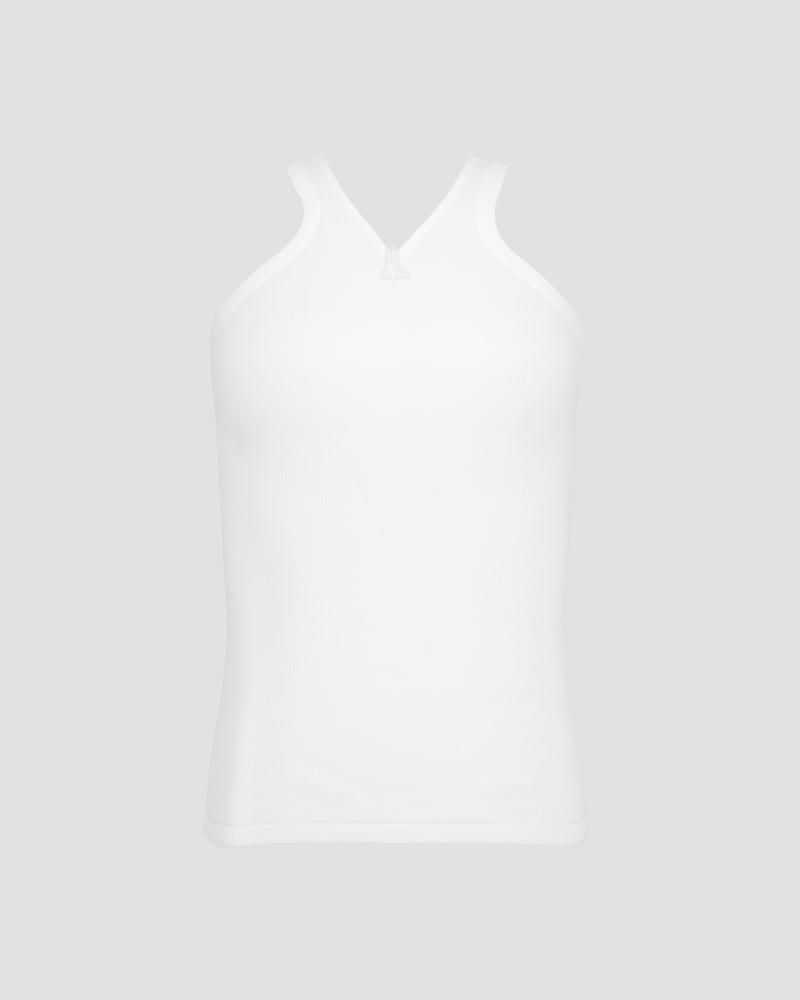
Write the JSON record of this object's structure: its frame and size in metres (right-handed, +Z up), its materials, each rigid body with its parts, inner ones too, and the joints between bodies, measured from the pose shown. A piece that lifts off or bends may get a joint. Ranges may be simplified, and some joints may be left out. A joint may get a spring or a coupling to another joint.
{
  "type": "ribbed tank top",
  "caption": "Sleeveless ribbed knit top with a V neck, narrow straps, cut-in armholes, bound edges and a small ribbon at the neck, shaped as worn.",
  "frame": {"origin": "midway between the two straps, at the crest of the shoulders where the wearer carries the garment", "axes": "+Z up along the wearer's body, -Y out of the front, +X to the wearer's left"},
  "size_m": [0.3254, 0.2406, 0.5741],
  "materials": {
    "rib_knit": "matt fine rib knit",
    "rib_binding": "matt folded knit binding",
    "ribbon": "soft woven ribbon"
  },
  "bodies": {
    "root": {"front": "rib_knit", "back": "rib_knit", "neck_binding": "rib_binding", "armhole_binding_left": "rib_binding", "armhole_binding_right": "rib_binding", "ribbon_wrap": "ribbon", "ribbon_tail_left": "ribbon", "ribbon_tail_right": "ribbon", "ribbon_end_middle": "ribbon"}
  },
  "joints": []
}
